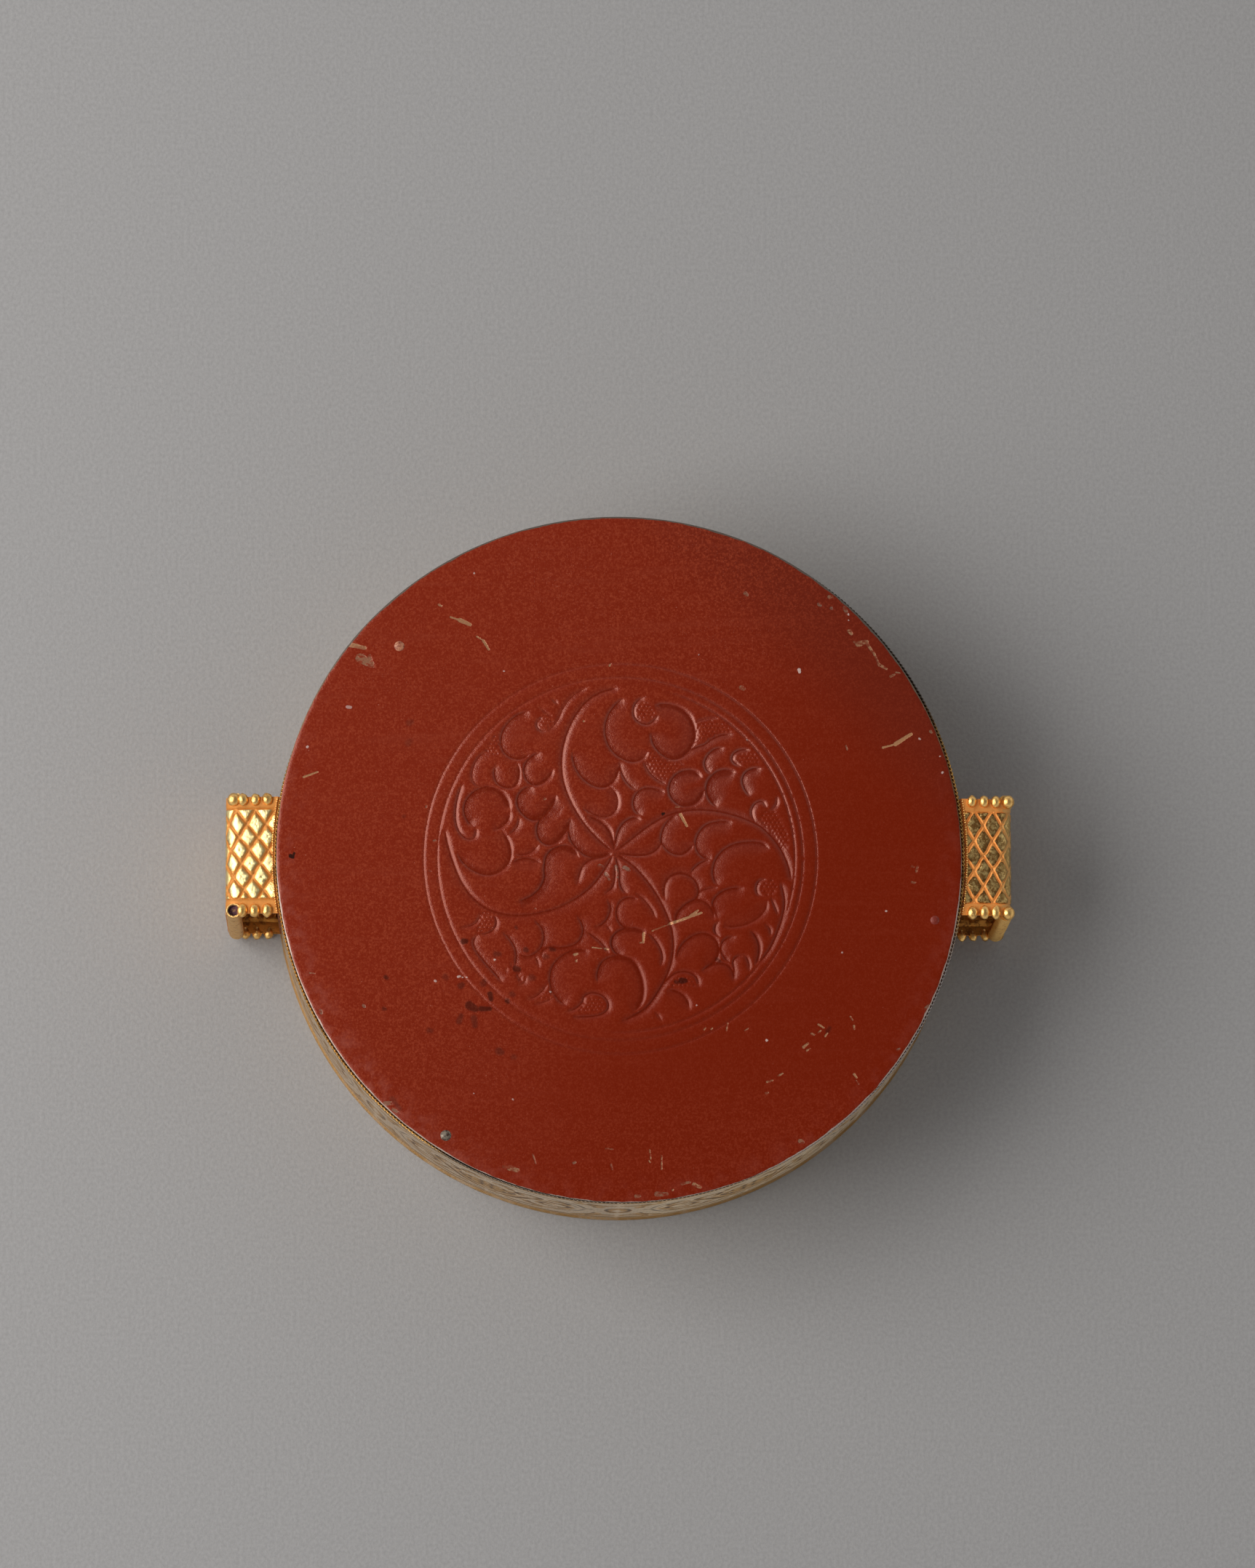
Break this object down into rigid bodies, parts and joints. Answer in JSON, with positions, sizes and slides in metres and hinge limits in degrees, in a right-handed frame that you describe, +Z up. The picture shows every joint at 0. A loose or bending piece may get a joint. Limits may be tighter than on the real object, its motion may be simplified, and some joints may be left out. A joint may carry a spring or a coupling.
{
  "type": "round amulet box",
  "caption": "Round sheet-metal amulet box with a push-in back cover in low relief and two rectangular beaded strap loops on its engraved wall.",
  "frame": {"origin": "on the floor under the middle of the box, in the plane of the front plate's flat border", "axes": "+Z up through the red back cover, X through the two strap loops, Y along the straps"},
  "size_m": [0.1384, 0.121, 0.0352],
  "materials": {
    "silver_wall": "pale silver, chased and partly gilt",
    "gilt_front": "worn gilding",
    "gilt_wire": "worn gilding",
    "gilt_loop": "gilding, worn to grey silver on the high places",
    "red_paint": "dull red paint over copper, chipped",
    "bare_copper": "brown copper",
    "rivet_metal": "dull grey"
  },
  "bodies": {
    "case": {"side_wall": "silver_wall", "front_plate": "gilt_front", "front_rim_wire": "gilt_wire", "front_ring_wire": "gilt_wire", "front_boss": "gilt_front", "back_edge_wire": "gilt_wire", "left_loop_base": "gilt_loop", "left_loop_band": "gilt_loop", "left_loop_top_beads": "gilt_loop", "left_loop_bottom_beads": "gilt_loop", "right_loop_base": "gilt_loop", "right_loop_band": "gilt_loop", "right_loop_top_beads": "gilt_loop", "right_loop_bottom_beads": "gilt_loop"},
    "back_cover": {"back_plate": "red_paint", "back_flange": "bare_copper", "back_rivets": "rivet_metal"}
  },
  "joints": [
    {"name": "cover_slide", "type": "slide", "parent": "case", "child": "back_cover", "axis": [0, 0, 1], "range_m": [0, 0.06]}
  ]
}
